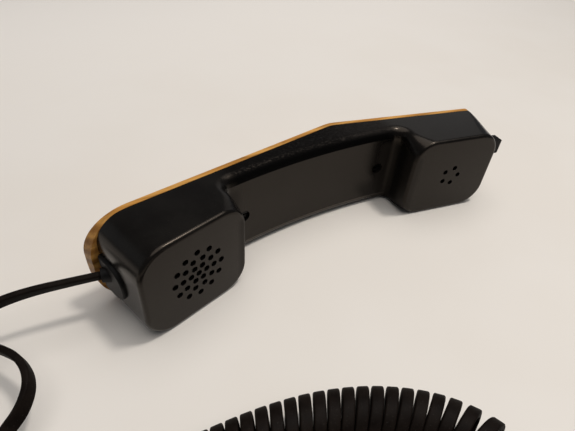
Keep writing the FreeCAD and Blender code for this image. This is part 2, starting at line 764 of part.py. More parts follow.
wood_bar = doc.addObject("Part::Feature", "wood_bar")
wood_bar.Shape = wood_path.makePipeShell([wood_section(wood_start, mouth_way)], True, False)
wood_outside = shared("wood_outside", [
    wood_bar, trim_block("wood_mouth_end", mouth, "-dims.mouth_half - dims.wood_over",
                         size("mouth_half + wood_over"), size("wood_end_round")),
    trim_block("wood_ear_end", ear, "dims.ear_half - 2 * dims.pitch", size("ear_half"),
               size("ear_seam_round"))])
doc.recompute()

# The wooden back is bored for the inserts and for the screws of the terminal strip.
strip_place = Vector(size("strip_along"), seam_depth(size("strip_along")) + size("seam"), 0)
knee, mouth_seam = spot(bend("0")), spot(mouth_end("dims.mouth_wall"))
seam_turn = math.degrees(math.atan2(knee.y - mouth_seam.y, knee.x - mouth_seam.x))
strip = whole.multiply(Placement(strip_place, Rotation(Vector(0, 0, 1), seam_turn).multiply(
    Rotation(Vector(1, 0, 0), 90))))
strip_holes = []
strip_screws = []
for side, along in (("west", "-dims.strip_screw_along"), ("east", "dims.strip_screw_along")):
    wood_bores.append(cylinder("strip_pilot_" + side, "dims.strip_screw_dia + dims.fit",
                               "dims.strip_screw_bite + 2 * dims.fit",
                               at(strip, along, "0", "-dims.strip_screw_bite - dims.fit")))
    strip_holes.append(cylinder("strip_hole_" + side, "dims.strip_screw_dia + 2 * dims.fit",
                                "dims.strip_thick", at(strip, along)))
    strip_screws.append(fuse("strip_screw_" + side, [
        cylinder("strip_shank_" + side, "dims.strip_screw_dia", "dims.strip_screw_bite + dims.strip_thick",
                 at(strip, along, "0", "-dims.strip_screw_bite")),
        cylinder("strip_head_" + side, "dims.terminal_head", "dims.terminal_head_thick",
                 at(strip, along, "0", "dims.strip_thick"))]))
named(together("strip_screws", strip_screws), "strip_screws")
named(cut("wood_bored", wood_outside, together("wood_bores", wood_bores)), "wood_back")

# Terminal strip on the wood, with a row of four screws.
terminals = []
for row in range(CORES):
    across = "(%s) * dims.terminal_step" % (row - (CORES - 1) / 2)
    strip_holes.append(cylinder("terminal_hole_%d" % row, "dims.terminal_dia + dims.fit",
                                "dims.strip_thick", at(strip, "0", across)))
    terminals.append(fuse("terminal_%d" % row, [
        cylinder("terminal_shank_%d" % row, "dims.terminal_dia", "dims.strip_thick - dims.fit",
                 at(strip, "0", across, "dims.fit")),
        cylinder("terminal_head_%d" % row, "dims.terminal_head", "dims.terminal_head_thick",
                 at(strip, "0", across, "dims.strip_thick"))]))
named(together("terminal_screws", terminals), "terminal_screws")
board = box("strip_board", "dims.strip_long", "dims.strip_high", "dims.strip_thick",
            at(strip, "-dims.strip_long / 2", "-dims.strip_high / 2"))
named(cut("strip_drilled", board, together("strip_holes", strip_holes)), "terminal_strip")

# Capsules: felt, can, diaphragm, gasket, clamping ring and its screws behind each face.
can_bore = can_dia + " - 2 * dims.can_wall"
gasket_dia = can_dia + " - 2 * dims.gasket_inset"
for place, frame in (("transmitter", mouth), ("receiver", ear)):
    felt = cylinder(place + "_felt", can_dia + " - 2 * dims.felt_inset", "dims.felt_thick",
                    at(frame, deep="dims.shell_wall"))
    named(felt, place + "_felt")
    can_solid = cylinder(place + "_can_solid", can_dia, "dims.can_long", at(frame, deep=can_front))
    can_mouth = cylinder(place + "_can_mouth", can_bore, "dims.ledge_drop", at(frame, deep=can_front))
    can_room = cylinder(place + "_can_room", can_bore + " - 2 * dims.ledge_wide",
                        "dims.can_long - dims.can_wall", at(frame, deep=can_front))
    can = cut(place + "_can_shape", can_solid, fuse(place + "_can_inside", [can_mouth, can_room]))
    named(can, place + "_can")
    named(cylinder(place + "_disc", can_bore + " - 2 * dims.fit", "dims.diaphragm_thick",
                   at(frame, deep=can_front + " + dims.ledge_drop - dims.diaphragm_thick")),
          place + "_diaphragm")
    named(tube(place + "_gasket_ring", gasket_dia, gasket_dia + " - 2 * dims.gasket_wide",
               "dims.gasket_thick", at(frame, deep=can_back)), place + "_gasket")
    ring_solids = [cylinder(place + "_ring_disc", cup_dia, "dims.ring_thick", at(frame, deep=cup_top))]
    ring_holes = [cylinder(place + "_ring_hole", can_dia + " - 2 * dims.ring_cover", "dims.ring_thick",
                           at(frame, deep=cup_top))]
    ring_screws = []
    for side, along in sides:
        spot_on_ring = at(frame, along, "0", cup_top)
        ring_solids.append(cylinder("%s_ring_ear_%s" % (place, side), "dims.ear_dia", "dims.ring_thick",
                                    spot_on_ring))
        ring_holes.append(cylinder("%s_ear_hole_%s" % (place, side),
                                   "dims.ring_screw_dia + 4 * dims.fit", "dims.ring_thick", spot_on_ring))
        ring_screws.append(fuse("%s_ring_screw_%s" % (place, side), [
            cylinder("%s_ring_shank_%s" % (place, side), "dims.ring_screw_dia",
                     "dims.ring_screw_reach + dims.ring_thick",
                     at(frame, along, "0", cup_top + " - dims.ring_screw_reach")),
            cylinder("%s_ring_head_%s" % (place, side), "dims.ring_head_dia", "dims.ring_head_thick",
                     at(frame, along, "0", cup_top + " + dims.ring_thick"))]))
    named(cut(place + "_ring_shape", fuse(place + "_ring_blank", ring_solids),
              together(place + "_ring_holes", ring_holes)), place + "_ring")
    named(together(place + "_ring_screw_pair", ring_screws), place + "_ring_screws")
inner_back = can_back + " - dims.can_wall"
named(cylinder("electrode", "dims.electrode_dia", "dims.electrode_long",
               at(mouth, deep=inner_back + " - dims.electrode_long")), "transmitter_electrode")
named(tube("magnet", "dims.magnet_dia", "dims.magnet_bore", "dims.magnet_long",
           at(ear, deep=inner_back + " - dims.magnet_long")), "receiver_magnet")
named(tube("coil", "dims.coil_dia", "dims.coil_bore", "dims.coil_long",
           at(ear, deep=inner_back + " - dims.coil_long")), "receiver_coil")


def route(points, share=0.45):
    """Straight runs joined by tangent arcs, each as large as its two runs allow."""
    edges = []
    radii = []
    start = points[0]
    for before, corner, after in zip(points, points[1:], points[2:]):
        come = (corner - before).normalize()
        leave = (after - corner).normalize()
        turn = come.getAngle(leave)
        trim = share * min((corner - before).Length, (after - corner).Length)
        radius = trim / math.tan(turn / 2)
        inward = (leave - come).normalize()
        arc_start = corner - come * trim
        arc_stop = corner + leave * trim
        arc_middle = corner + inward * (radius / math.cos(turn / 2) - radius)
        edges.append(Part.LineSegment(start, arc_start).toShape())
        edges.append(Part.Arc(arc_start, arc_middle, arc_stop).toShape())
        radii.append(radius)
        start = arc_stop
    edges.append(Part.LineSegment(start, points[-1]).toShape())
    return Part.Wire(edges), radii


def tube_along(wire, diameter):
    first = wire.Edges[0]
    way = first.tangentAt(first.FirstParameter)
    ring = Part.Wire(Part.makeCircle(diameter / 2, first.valueAt(first.FirstParameter), way))
    solid = wire.makePipeShell([ring], True, False)
    share = solid.Volume / (wire.Length * math.pi * diameter ** 2 / 4)
    return solid, share


def tube_node(label, routes, diameter):
    solids = []
    for points in routes:
        wire, radii = route(points)
        solid, share = tube_along(wire, diameter)
        solids.append(solid)
        print("%s: length %.1f, volume %.4f of section times length, radii %s" % (
            label, wire.Length, share, " ".join("%.1f" % radius for radius in radii)))
    item = doc.addObject("Part::Feature", label + "_tube")
    item.Shape = solids[0] if len(solids) == 1 else Part.makeCompound(solids)
    named(item, label)


# Wires inside: four cores from the strain relief to the strip, and a pair to each capsule.
def wire_at(frame, along, across, deep):
    return frame.multVec(Vector(along, across, deep))


def channel_floor(along):
    share = abs(along) / size(channel_reach)
    return size("channel_mid_depth") + share * (size("channel_end_depth") - size("channel_mid_depth"))


def in_channel(along, across, lifts=1):
    return wire_at(whole, along, channel_floor(along) + lifts * size("wire_lift"), across)


core_dia = size("core_dia")
core_step = size("core_step")
head_half = size("terminal_head / 2")
wire_gap = size("wire_gap")
wire_bow = size("wire_bow")
wire_level = size("strip_thick + core_dia / 2 + fit")
wire_turn = size("wire_turn")
relief_middle = size(relief_depth)
relief_inside = size("fit - mouth_half + shell_wall + relief_flange")
post_room = size("post_dia / 2") + 1.5 * core_dia
past_post = size("screw_mouth_along - post_dia")
past_root = size("root_along - wire_side")
channel_half = size("width / 2 - channel_side - wire_side")
can_rear = size(can_back)
behind_ring = size(cup_top + " + dims.ring_thick + dims.wire_over")
core_routes = []
for row in range(CORES):
    order = row - (CORES - 1) / 2
    rise = order * core_step
    beside = math.copysign(post_room, order) + rise
    core_routes.append([
        wire_at(mouth, relief_inside, -rise, relief_middle),
        wire_at(mouth, relief_inside + wire_turn, -rise, relief_middle),
        wire_at(mouth, wire_turn, -rise, behind_ring),
        in_channel(-past_root, beside),
        in_channel(-past_post, beside),
        wire_at(strip, -head_half - wire_gap, order * size("terminal_step"), wire_level)])
tube_node("cord_cores", core_routes, core_dia)
transmitter_routes = []
receiver_routes = []
for sign in (-1, 1):
    outer = sign * (1.5 * size("terminal_step") + head_half)
    inner = sign * 0.5 * size("terminal_step")
    transmitter_routes.append([
        wire_at(strip, 0, outer + sign * wire_gap, wire_level),
        wire_at(strip, -core_dia / 2, outer + sign * 2 * core_dia, wire_level),
        in_channel(-past_post, sign * channel_half),
        in_channel(-past_root, sign * channel_half),
        wire_at(mouth, 1.5 * wire_turn, -sign * (post_room + core_step), behind_ring),
        wire_at(mouth, 2 * core_dia, -sign * 2.5 * core_step, can_rear + wire_bow),
        wire_at(mouth, core_dia, -sign * 2 * core_step, can_rear + wire_gap)])
    receiver_routes.append([
        wire_at(strip, head_half + wire_gap, inner, wire_level),
        wire_at(strip, size("strip_screw_along"), inner + sign * core_dia, wire_level + wire_gap),
        in_channel(size("bend_along"), sign * post_room, lifts=2),
        in_channel(past_root, sign * (post_room + core_step)),
        wire_at(ear, -1.5 * wire_turn, -sign * post_room, behind_ring),
        wire_at(ear, -2 * core_dia, -sign * 2.5 * core_step, can_rear + wire_bow),
        wire_at(ear, -core_dia, -sign * 2 * core_step, can_rear + wire_gap)])
tube_node("transmitter_wires", transmitter_routes, core_dia)
tube_node("receiver_wires", receiver_routes, core_dia)

# Curly cord: a tube wound round its middle line, starting and ending at the table.
cord_dia = size("cord_dia")
curl_radius = size("curl_dia") / 2 - cord_dia / 2
curl_height = size("curl_dia") / 2 + TABLE_CLEARANCE
curl_count = int(size("curl_count"))
middle_line = Part.BSplineCurve()
middle_line.interpolate([Vector(along, back_, curl_height) for along, back_ in CURL_ROUTE])
middle_edge = middle_line.toShape()
curl_pitch = middle_edge.Length / curl_count


def curl_point(turns):
    station = middle_edge.getParameterByLength(min(max(turns * curl_pitch, 0.0), middle_edge.Length))
    way = middle_edge.tangentAt(station)
    right = Vector(way.y, -way.x, 0).normalize()
    angle = 2 * math.pi * turns
    beyond = turns * curl_pitch - min(max(turns * curl_pitch, 0.0), middle_edge.Length)
    return (middle_edge.valueAt(station) + way * beyond + right * (curl_radius * math.sin(angle))
            - Vector(0, 0, curl_radius * math.cos(angle)))


def curl_way(turns, step=1e-4):
    return (curl_point(turns + step) - curl_point(turns - step)).normalize()


def arc_from(start, way, stop):
    """Arc that leaves start along way and ends at stop."""
    chord = stop - start
    swing = way.getAngle(chord)
    side = (way - chord * (way.dot(chord) / chord.dot(chord))).normalize()
    middle = start + chord * 0.5 + side * (chord.Length / 2 * math.tan(swing / 2))
    return Part.Arc(start, middle, stop).toShape()


def biarc(start, way, stop, stop_way):
    span = stop - start
    both = way + stop_way
    spread = 2 * (1 - way.dot(stop_way))
    reach = (math.sqrt(span.dot(both) ** 2 + spread * span.dot(span)) - span.dot(both)) / spread
    joint = (start + way * reach + stop - stop_way * reach) * 0.5
    return [arc_from(start, way, joint), arc_from(stop, stop_way * -1, joint)]


curl_in = curl_way(0.0)
curl_out = curl_way(float(curl_count))
curl_start = curl_point(0.0) - curl_in * cord_dia
curl_stop = curl_point(float(curl_count)) + curl_out * cord_dia
curl_edges = [Part.LineSegment(curl_start, curl_point(0.0)).toShape()]
for half_turn in range(2 * curl_count):
    near_turn, far_turn = half_turn / 2, (half_turn + 1) / 2
    curl_edges += biarc(curl_point(near_turn), curl_way(near_turn), curl_point(far_turn), curl_way(far_turn))
curl_edges.append(Part.LineSegment(curl_point(float(curl_count)), curl_stop).toShape())
curl_wire = Part.Wire(Part.__sortEdges__(curl_edges))
curl_solid, curl_share = tube_along(curl_wire, cord_dia)
curl_item = doc.addObject("Part::Feature", "curly_cord_tube")
curl_item.Shape = curl_solid
named(curl_item, "curly_cord")
STEPS_A_TURN = 48
curl_points = [curl_point(place / STEPS_A_TURN) for place in range(curl_count * STEPS_A_TURN + 1)]
least_gap = min((curl_points[place] - curl_points[other]).Length
                for place in range(len(curl_points))
                for other in range(place + STEPS_A_TURN // 2,
                                   min(place + 2 * STEPS_A_TURN, len(curl_points)))) - cord_dia
print("curly_cord: %d curls, pitch %.2f, length %.1f, volume %.4f of section times length, "
      "least gap to itself %.2f" % (curl_count, curl_pitch, curl_wire.Length, curl_share, least_gap))

first_run = size("cord_first_run")
lead_points = ([exit_point, exit_point + exit_way * first_run]
               + [Vector(*point) for point in LEAD_ROUTE]
               + [curl_start - curl_in * first_run, curl_start])
tube_node("flat_lead", [lead_points], cord_dia)
tail_points = [curl_stop, curl_stop + curl_out * first_run] + [Vector(*point) for point in TAIL_ROUTE]
tube_node("tail_lead", [tail_points], cord_dia)

# Plug at the end of the tail: body with a row of contacts below and a sprung latch above.
tail_way = tail_points[-1] - tail_points[-2]
plug_turn = math.degrees(math.atan2(tail_way.y, tail_way.x))
plug = Placement(tail_points[-1], Rotation(Vector(0, 0, 1), plug_turn))
plug_low = "-dims.plug_high / 2"
plug_top = "dims.plug_high / 2"
plug_block = box("plug_block", "dims.plug_long", "dims.plug_wide", "dims.plug_high",
                 at(plug, "0", "-dims.plug_wide / 2", plug_low))
contact_slots = []
contacts = []
for row in range(CONTACTS):
    across = "(%s) * dims.contact_step" % (row - (CONTACTS - 1) / 2)
    contact_slots.append(box("contact_slot_%d" % row, "dims.contact_long + 2 * dims.fit",
                             "dims.contact_thick + 2 * dims.fit", "dims.contact_high + dims.contact_inset",
                             at(plug, "dims.contact_back - dims.fit",
                                across + " - dims.contact_thick / 2 - dims.fit", plug_low)))
    contacts.append(box("contact_%d" % row, "dims.contact_long", "dims.contact_thick", "dims.contact_high",
                        at(plug, "dims.contact_back", across + " - dims.contact_thick / 2",
                           plug_low + " + dims.contact_inset")))
named(together("contact_row", contacts), "plug_contacts")
plug_slotted = cut("plug_slotted", plug_block, together("contact_slots", contact_slots))
pin_rise = plug_top + " + dims.latch_gap + dims.latch_barrel / 2"
across_turn = Rotation(Vector(1, 0, 0), -90)
lugs = []
for side, start in (("left", "-dims.latch_wide / 2 - dims.latch_gap - dims.lug_thick"),
                    ("right", "dims.latch_wide / 2 + dims.latch_gap")):
    lugs.append(box("lug_" + side, "dims.latch_barrel", "dims.lug_thick",
                    "dims.latch_gap + dims.latch_barrel",
                    at(plug, "dims.latch_back - dims.latch_barrel / 2", start, plug_top)))
named(fuse("plug_shape", [plug_slotted] + lugs), "plug_body")
barrel = cylinder("latch_barrel_rod", "dims.latch_barrel", "dims.latch_wide",
                  at(plug, "dims.latch_back", "-dims.latch_wide / 2", pin_rise, across_turn))
lever_turn = Rotation(Vector(0, 1, 0), 180 + size("latch_rise"))
lever = box("latch_lever", "dims.latch_long", "dims.latch_wide", "dims.latch_thick",
            at(at(plug, "dims.latch_back", "0", pin_rise, lever_turn), "0", "-dims.latch_wide / 2",
               "-dims.latch_thick / 2"))
named(fuse("latch_shape", [barrel, lever]), "plug_latch")
print("latch pin at", at(plug, "dims.latch_back", "0", pin_rise).Base, "axis",
      plug.Rotation.multVec(Vector(0, 1, 0)))

doc.recompute()
for item in doc.Objects:
    if "Invalid" in item.State or "Error" in item.State:
        raise RuntimeError("%s failed: %s" % (item.Label, item.State))
for label, item in nodes.items():
    if item.Shape.isNull() or not item.Shape.isValid():
        raise RuntimeError("%s has no valid shape" % label)
os.makedirs("parts", exist_ok=True)
for label, item in nodes.items():
    item.Shape.exportStep("parts/%s.step" % label)
print("%d pieces written" % len(nodes))
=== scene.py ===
import math

import bpy
from mathutils import Matrix, Vector


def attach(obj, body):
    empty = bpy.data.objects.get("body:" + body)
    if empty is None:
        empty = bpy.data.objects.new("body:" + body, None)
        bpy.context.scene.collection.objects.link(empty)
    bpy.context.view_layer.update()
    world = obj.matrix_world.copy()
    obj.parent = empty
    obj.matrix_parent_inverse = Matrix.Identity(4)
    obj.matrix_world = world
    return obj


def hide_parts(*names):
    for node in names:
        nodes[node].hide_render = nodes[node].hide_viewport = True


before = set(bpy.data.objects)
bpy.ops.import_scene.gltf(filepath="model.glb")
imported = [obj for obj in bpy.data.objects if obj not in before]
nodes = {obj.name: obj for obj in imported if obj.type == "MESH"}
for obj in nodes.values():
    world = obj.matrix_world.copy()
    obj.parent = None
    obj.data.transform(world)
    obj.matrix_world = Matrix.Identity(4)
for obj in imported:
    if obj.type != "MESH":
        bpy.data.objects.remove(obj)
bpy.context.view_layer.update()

print("frame loaded:", len(nodes), "nodes")


def linkToScene(name, mesh):
    piece = bpy.data.objects.new(name, mesh)
    bpy.context.scene.collection.objects.link(piece)
    return piece


# camera at the photograph's view, worked out from the two faces and the sides
view = {
    "place": (-0.11758, -0.152501, 0.160376),
    "yaw": 35.28,
    "pitch": 40.09,
    "roll": 4.65,
    "lens": 27.837,
    "sensor": 36,
    "near": 0.01,
    "shift": (-0.0009, 0.0010),
}
cameraData = bpy.data.cameras.new("photoCamera")
cameraData.sensor_width = view["sensor"]
cameraData.lens = view["lens"]
cameraData.clip_start = view["near"]
cameraData.shift_x, cameraData.shift_y = view["shift"]
camera = bpy.data.objects.new("photoCamera", cameraData)
bpy.context.scene.collection.objects.link(camera)
aim = (Matrix.Rotation(math.radians(-view["yaw"]), 4, "Z")
       @ Matrix.Rotation(math.radians(90 - view["pitch"]), 4, "X")
       @ Matrix.Rotation(math.radians(view["roll"]), 4, "Z"))
camera.matrix_world = Matrix.Translation(view["place"]) @ aim
bpy.context.scene.camera = camera
print("camera placed")


# node trees written as expressions on sockets
class Flow:
    def __init__(self, tree, socket):
        self.tree = tree
        self.socket = socket

    def node(self, kind, settings=None, inputs=None, out=0):
        made = self.tree.nodes.new(kind)
        for key, value in (settings or {}).items():
            setattr(made, key, value)
        for key, value in (inputs or {}).items():
            if isinstance(value, Flow):
                self.tree.links.new(value.socket, made.inputs[key])
            else:
                made.inputs[key].default_value = value
        return Flow(self.tree, made.outputs[out])

    def maths(self, operation, first, second=0.0):
        return self.node("ShaderNodeMath", {"operation": operation}, {0: first, 1: second})

    def __add__(self, other):
        return self.maths("ADD", self, other)

    def __radd__(self, other):
        return self.maths("ADD", other, self)

    def __sub__(self, other):
        return self.maths("SUBTRACT", self, other)

    def __rsub__(self, other):
        return self.maths("SUBTRACT", other, self)

    def __mul__(self, other):
        return self.maths("MULTIPLY", self, other)

    def __truediv__(self, other):
        return self.maths("DIVIDE", self, other)

    def __abs__(self):
        return self.maths("ABSOLUTE", self)

    def step(self, low, high):
        return self.node("ShaderNodeMapRange", {"interpolation_type": "SMOOTHSTEP"},
                         {"Value": self, "From Min": low, "From Max": high})

    def noise(self, scale, detail, rough, stretch=(1, 1, 1)):
        spot = self.node("ShaderNodeMapping", None, {"Vector": self, "Scale": stretch})
        return self.node("ShaderNodeTexNoise", None,
                         {"Vector": spot, "Scale": scale, "Detail": detail, "Roughness": rough})

    def blend(self, first, second):  # this value is the share of the second colour
        def colour(value):
            return value if isinstance(value, Flow) else (*value, 1)
        return self.node("ShaderNodeMix", {"data_type": "RGBA"},
                         {0: self, 6: colour(first), 7: colour(second)}, 2)

    def parts(self):
        split = self.node("ShaderNodeSeparateXYZ", None, {0: self})
        return [Flow(self.tree, socket) for socket in split.socket.node.outputs]


def newFinish(name, **constants):
    material = bpy.data.materials.new(name)
    material.use_nodes = True
    tree = material.node_tree
    shader = tree.nodes["Principled BSDF"]
    for socket, value in constants.items():
        shader.inputs[socket.replace("_", " ")].default_value = value
    coords = tree.nodes.new("ShaderNodeTexCoord")
    return material, shader, Flow(tree, coords.outputs["Object"])


def feed(shader, socket, flow):
    flow.tree.links.new(flow.socket, shader.inputs[socket])


def feedBump(shader, height, strength, distance):
    feed(shader, "Normal", height.node("ShaderNodeBump", None,
                                       {"Height": height, "Strength": strength, "Distance": distance}))


# clouds between two colours over a fine grain, for the smaller pieces
plain = {
    "cloudsCoarser": 6,  # times the scale of the grain
    "clouds": (4, 0.6),  # detail and roughness of the noise
    "fine": (2, 0.5),
    "mid": (0.3, 0.7),
    "roughSpread": 0.08,
}


def plainFinish(name, low, high, rough, grain, metal=0.0, bump=0.15, depth=0.00005, **constants):
    material, shader, place = newFinish(name, Metallic=metal, **constants)
    cloudy = place.noise(grain / plain["cloudsCoarser"], *plain["clouds"])
    fine = place.noise(grain, *plain["fine"])
    feed(shader, "Base Color", cloudy.step(*plain["mid"]).blend(low, high))
    feed(shader, "Roughness", fine * (2 * plain["roughSpread"]) + (rough - plain["roughSpread"]))
    feedBump(shader, fine, bump, depth)
    return material


# black moulding: satin faces, and a finely grained band on the upper side of the grip
moulding = {
    "sheen": 0.27,
    "sheenTint": (1.0, 0.83, 0.68, 1.0),
    "dark": (0.0034, 0.0030, 0.0028),
    "light": (0.0062, 0.0056, 0.0050),
    "mid": (0.3, 0.7),
    "rough": 0.18,
    "mist": (60, 4, 0.6),  # each noise has its scale, detail and roughness
    "mistRough": 0.10,
    "scuffs": (240, 5, 0.7, (1, 5, 0.6)),
    "scuffEdge": (0.60, 0.80),
    "scuffRough": 0.09,
    "orangePeel": (900, 2, 0.5),
    "peelHigh": 0.06,
    "peelBump": (0.35, 0.00012),
    "dust": (2600, 1, 0.4),
    "dustEdge": (0.71, 0.78),
    "dustShare": 0.10,
    "dustColour": (0.16, 0.15, 0.13),
}
# the grip's own places: along it to both sides, or up from the table
grip = {
    "reach": (0.0435, 0.0545),  # where the grip fades into the blocks
    "rounding": (0.0370, 0.0415),  # up to the rounding of the upper side
    "crease": 0.0050,  # lower edge of the grip's face, with a painted highlight line along it
    "creaseWide": (0.00015, 0.00055),
    "creasePaintedHighlight": (0.080, 0.070, 0.060),
    "creaseHighlightShare": 0.8,
    "below": (-0.0004, 0.0),
    "undersidePaintedReflection": (0.0150, 0.0110, 0.0080),  # painted reflection of the table, brown, below the crease
    "undersideReflectionShare": 0.7,
    "rootStart": (0.0400, 0.0460),  # the hollow between the grip and each block is duller
    "rootEnd": (0.0520, 0.0560),
    "rootDull": 0.30,
    "wall": (0.0500, 0.0512),  # where each block's inner wall starts; the walls are darkened as painted shade
    "wallEnd": (0.0540, 0.0560),
    "wallFace": (-0.0272, -0.0235),  # from its edge at the face back to its foot
    "wallPaintedShade": 0.55,
}
band = {
    "sheen": 0.03,
    "edge": (0.0415, 0.0420),  # up from the table, where the grain starts
    "flat": (0.0445, 0.0469),  # where the rounding turns into the flat side; the rounding is painted darker, as painted shade
    "dark": (0.0010, 0.0009, 0.0009),
    "light": (0.0044, 0.0037, 0.0035),
    "flatShare": 0.6,
    "leatherShare": 0.4,
    "far": (0.0175, 0.0150, 0.0136),  # painted sheen, paler towards the earpiece
    "paintedSheenFade": (0.004, 0.044),
    "paintedSheenLeather": 0.5,
    "rough": 0.69,
    "leatherGloss": 0.14,
    "leatherScale": 1300.0,
    "leatherEdge": (0.0, 0.28),
    "leatherBump": (0.55, 0.00016),
    "speckle": (1050, 3, 0.7),
    "speckleEdge": (0.46, 0.70),
    "glint": 0.62,
}


def feedSatin(shader, place, inGrip, root):
    up = place.parts()[2]
    mist = place.noise(*moulding["mist"])
    dust = place.noise(*moulding["dust"]).step(*moulding["dustEdge"])
    scuffs = place.noise(*moulding["scuffs"]).step(*moulding["scuffEdge"])
    fromCrease = up - grip["crease"]
    crease = 1 - abs(fromCrease).step(*grip["creaseWide"])
    below = 1 - fromCrease.step(*grip["below"])
    base = mist.step(*moulding["mid"]).blend(moulding["dark"], moulding["light"])
    base = (dust * moulding["dustShare"]).blend(base, moulding["dustColour"])
    # painted reflection: the grip below the crease is lighter brown, as if it reflected the table
    base = (below * inGrip * grip["undersideReflectionShare"]).blend(base, grip["undersidePaintedReflection"])
    # painted highlight: a pale line along the crease of the grip's face
    base = (crease * inGrip * grip["creaseHighlightShare"]).blend(base, grip["creasePaintedHighlight"])
    feed(shader, "Base Color", base)
    feed(shader, "Roughness", mist * moulding["mistRough"] + scuffs * moulding["scuffRough"]
         + root * grip["rootDull"] + moulding["rough"])
    feedBump(shader, place.noise(*moulding["orangePeel"]) * moulding["peelHigh"], *moulding["peelBump"])


def feedGrained(shader, place, flat):
    along = place.parts()[0]
    cells = place.node("ShaderNodeTexVoronoi", {"feature": "DISTANCE_TO_EDGE"},
                       {"Vector": place, "Scale": band["leatherScale"]})
    leather = cells.step(*band["leatherEdge"])
    # painted shade: the rounding below the flat side stays darker than the flat side
    tone = flat * band["flatShare"] + leather * band["leatherShare"] * flat
    tone = tone.blend(band["dark"], band["light"])
    # painted sheen: the flat side turns paler towards the earpiece
    far = flat * along.step(*band["paintedSheenFade"]) * (1 - band["paintedSheenLeather"] + leather * band["paintedSheenLeather"])
    feed(shader, "Base Color", far.blend(tone, band["far"]))
    feed(shader, "Roughness", leather * -band["leatherGloss"] + band["rough"])
    feedBump(shader, leather, *band["leatherBump"])


def makeMoulding():
    material, satin, place = newFinish("blackMoulding", Specular_IOR_Level=moulding["sheen"],
                                       Specular_Tint=moulding["sheenTint"])
    tree = place.tree
    grained = tree.nodes.new("ShaderNodeBsdfPrincipled")
    grained.inputs["Specular IOR Level"].default_value = band["sheen"]
    along, back, up = place.parts()
    aside = abs(along)
    inGrip = 1 - aside.step(*grip["reach"])
    underRounding = 1 - up.step(*grip["rounding"])
    root = aside.step(*grip["rootStart"]) * (1 - aside.step(*grip["rootEnd"])) * underRounding
    # painted shade: the inner walls of the blocks
    wall = (aside.step(*grip["wall"]) * (1 - aside.step(*grip["wallEnd"]))
            * back.step(*grip["wallFace"]) * underRounding)
    flat = up.step(*band["flat"])
    feedSatin(satin, place, inGrip, root)
    feedGrained(grained, place, flat)
    speckle = place.noise(*band["speckle"]).step(*band["speckleEdge"])
    onBand = up.step(*band["edge"]) * inGrip
    # the inner walls take the dark grained finish as painted shade
    share = onBand * (1 - speckle * flat * band["glint"]) + wall * grip["wallPaintedShade"]
    mixed = place.node("ShaderNodeMixShader", None, {0: share, 1: Flow(tree, satin.outputs[0]),
                                                     2: Flow(tree, grained.outputs[0])})
    tree.links.new(mixed.socket, tree.nodes["Material Output"].inputs["Surface"])
    return material


# oiled oak: long grain with pores, darker end grain
oak = {
    "sheen": 0.16,
    "pale": (0.60, 0.310, 0.078),
    "gold": (0.45, 0.205, 0.042),
    "brown": (0.19, 0.080, 0.018),
    "pore": (0.070, 0.030, 0.010),
    "rough": 0.38,
    "turn": (0.12, 0.05, 0.10),  # the board isn't cut true to the grain
    "heart": {"Location": (0, 0.045, 0.016), "Scale": (0.10, 1, 1)},
    "rings": {"Scale": 70.0, "Distortion": 2.4, "Detail": 4.0, "Detail Scale": 1.6},
    "drift": (14, 3, 0.5, (0.35, 1, 1)),
    "ringShare": 0.55,
    "mid": (0.22, 0.78),
    "fibres": (420, 4, 0.65, (0.045, 1, 1)),
    "fibreEdge": (0.43, 0.72),
    "fibreShare": 0.62,
    "fibreRough": 0.16,
    "fibreHigh": 0.5,
    "pores": (900, 2, 0.55, (0.06, 1, 1)),
    "poreEdge": (0.60, 0.72),
    "poreShare": 0.7,
    "poreRough": 0.12,
    "bump": (0.30, 0.00012),
    "endGrain": (-0.1060, -0.0950),  # along the handset, where the darker end grain shows
    "endShare": 0.26,
    "endRings": 0.46,
}


def makeOak():
    material, shader, place = newFinish("oiledOak", Specular_IOR_Level=oak["sheen"])
    bent = place.node("ShaderNodeMapping", None, {"Vector": place, "Rotation": oak["turn"]})
    heart = bent.node("ShaderNodeMapping", None, {"Vector": bent, **oak["heart"]})
    rings = heart.node("ShaderNodeTexWave", {"wave_type": "RINGS", "rings_direction": "X"},
                       {"Vector": heart, **oak["rings"]})
    drift = bent.noise(*oak["drift"])
    fibres = bent.noise(*oak["fibres"])
    pores = bent.noise(*oak["pores"]).step(*oak["poreEdge"])
    tone = (rings * oak["ringShare"] + drift * (1 - oak["ringShare"])).step(*oak["mid"])
    base = tone.blend(oak["pale"], oak["gold"])
    base = (fibres.step(*oak["fibreEdge"]) * oak["fibreShare"]).blend(base, oak["brown"])
    base = (pores * oak["poreShare"]).blend(base, oak["pore"])
    endGrain = 1 - place.parts()[0].step(*oak["endGrain"])
    base = (endGrain * (oak["endShare"] + rings * oak["endRings"])).blend(base, oak["brown"])
    feed(shader, "Base Color", base)
    feed(shader, "Roughness", fibres * oak["fibreRough"] + pores * oak["poreRough"] + oak["rough"])
    feedBump(shader, fibres * oak["fibreHigh"] - pores, *oak["bump"])
    return material


# matte jacket of the flat cord, with faint lengthwise drawing lines
jacket = {
    "sheen": 0.06,
    "dark": (0.0046, 0.0029, 0.0021),
    "light": (0.0092, 0.0063, 0.0048),
    "mid": (0.3, 0.7),
    "rough": 0.50,
    "mottle": (180, 4, 0.6),
    "mottleRough": 0.16,
    "drawn": (90, 3, 0.6, (0.02, 3, 1)),
    "drawnRough": 0.06,
    "grain": (1400, 2, 0.5),
    "grainHigh": 0.4,
    "bump": (0.20, 0.00008),
    "dust": (2400, 1, 0.4),
    "dustEdge": (0.69, 0.78),
    "dustShare": 0.16,
    "dustColour": (0.13, 0.12, 0.11),
}


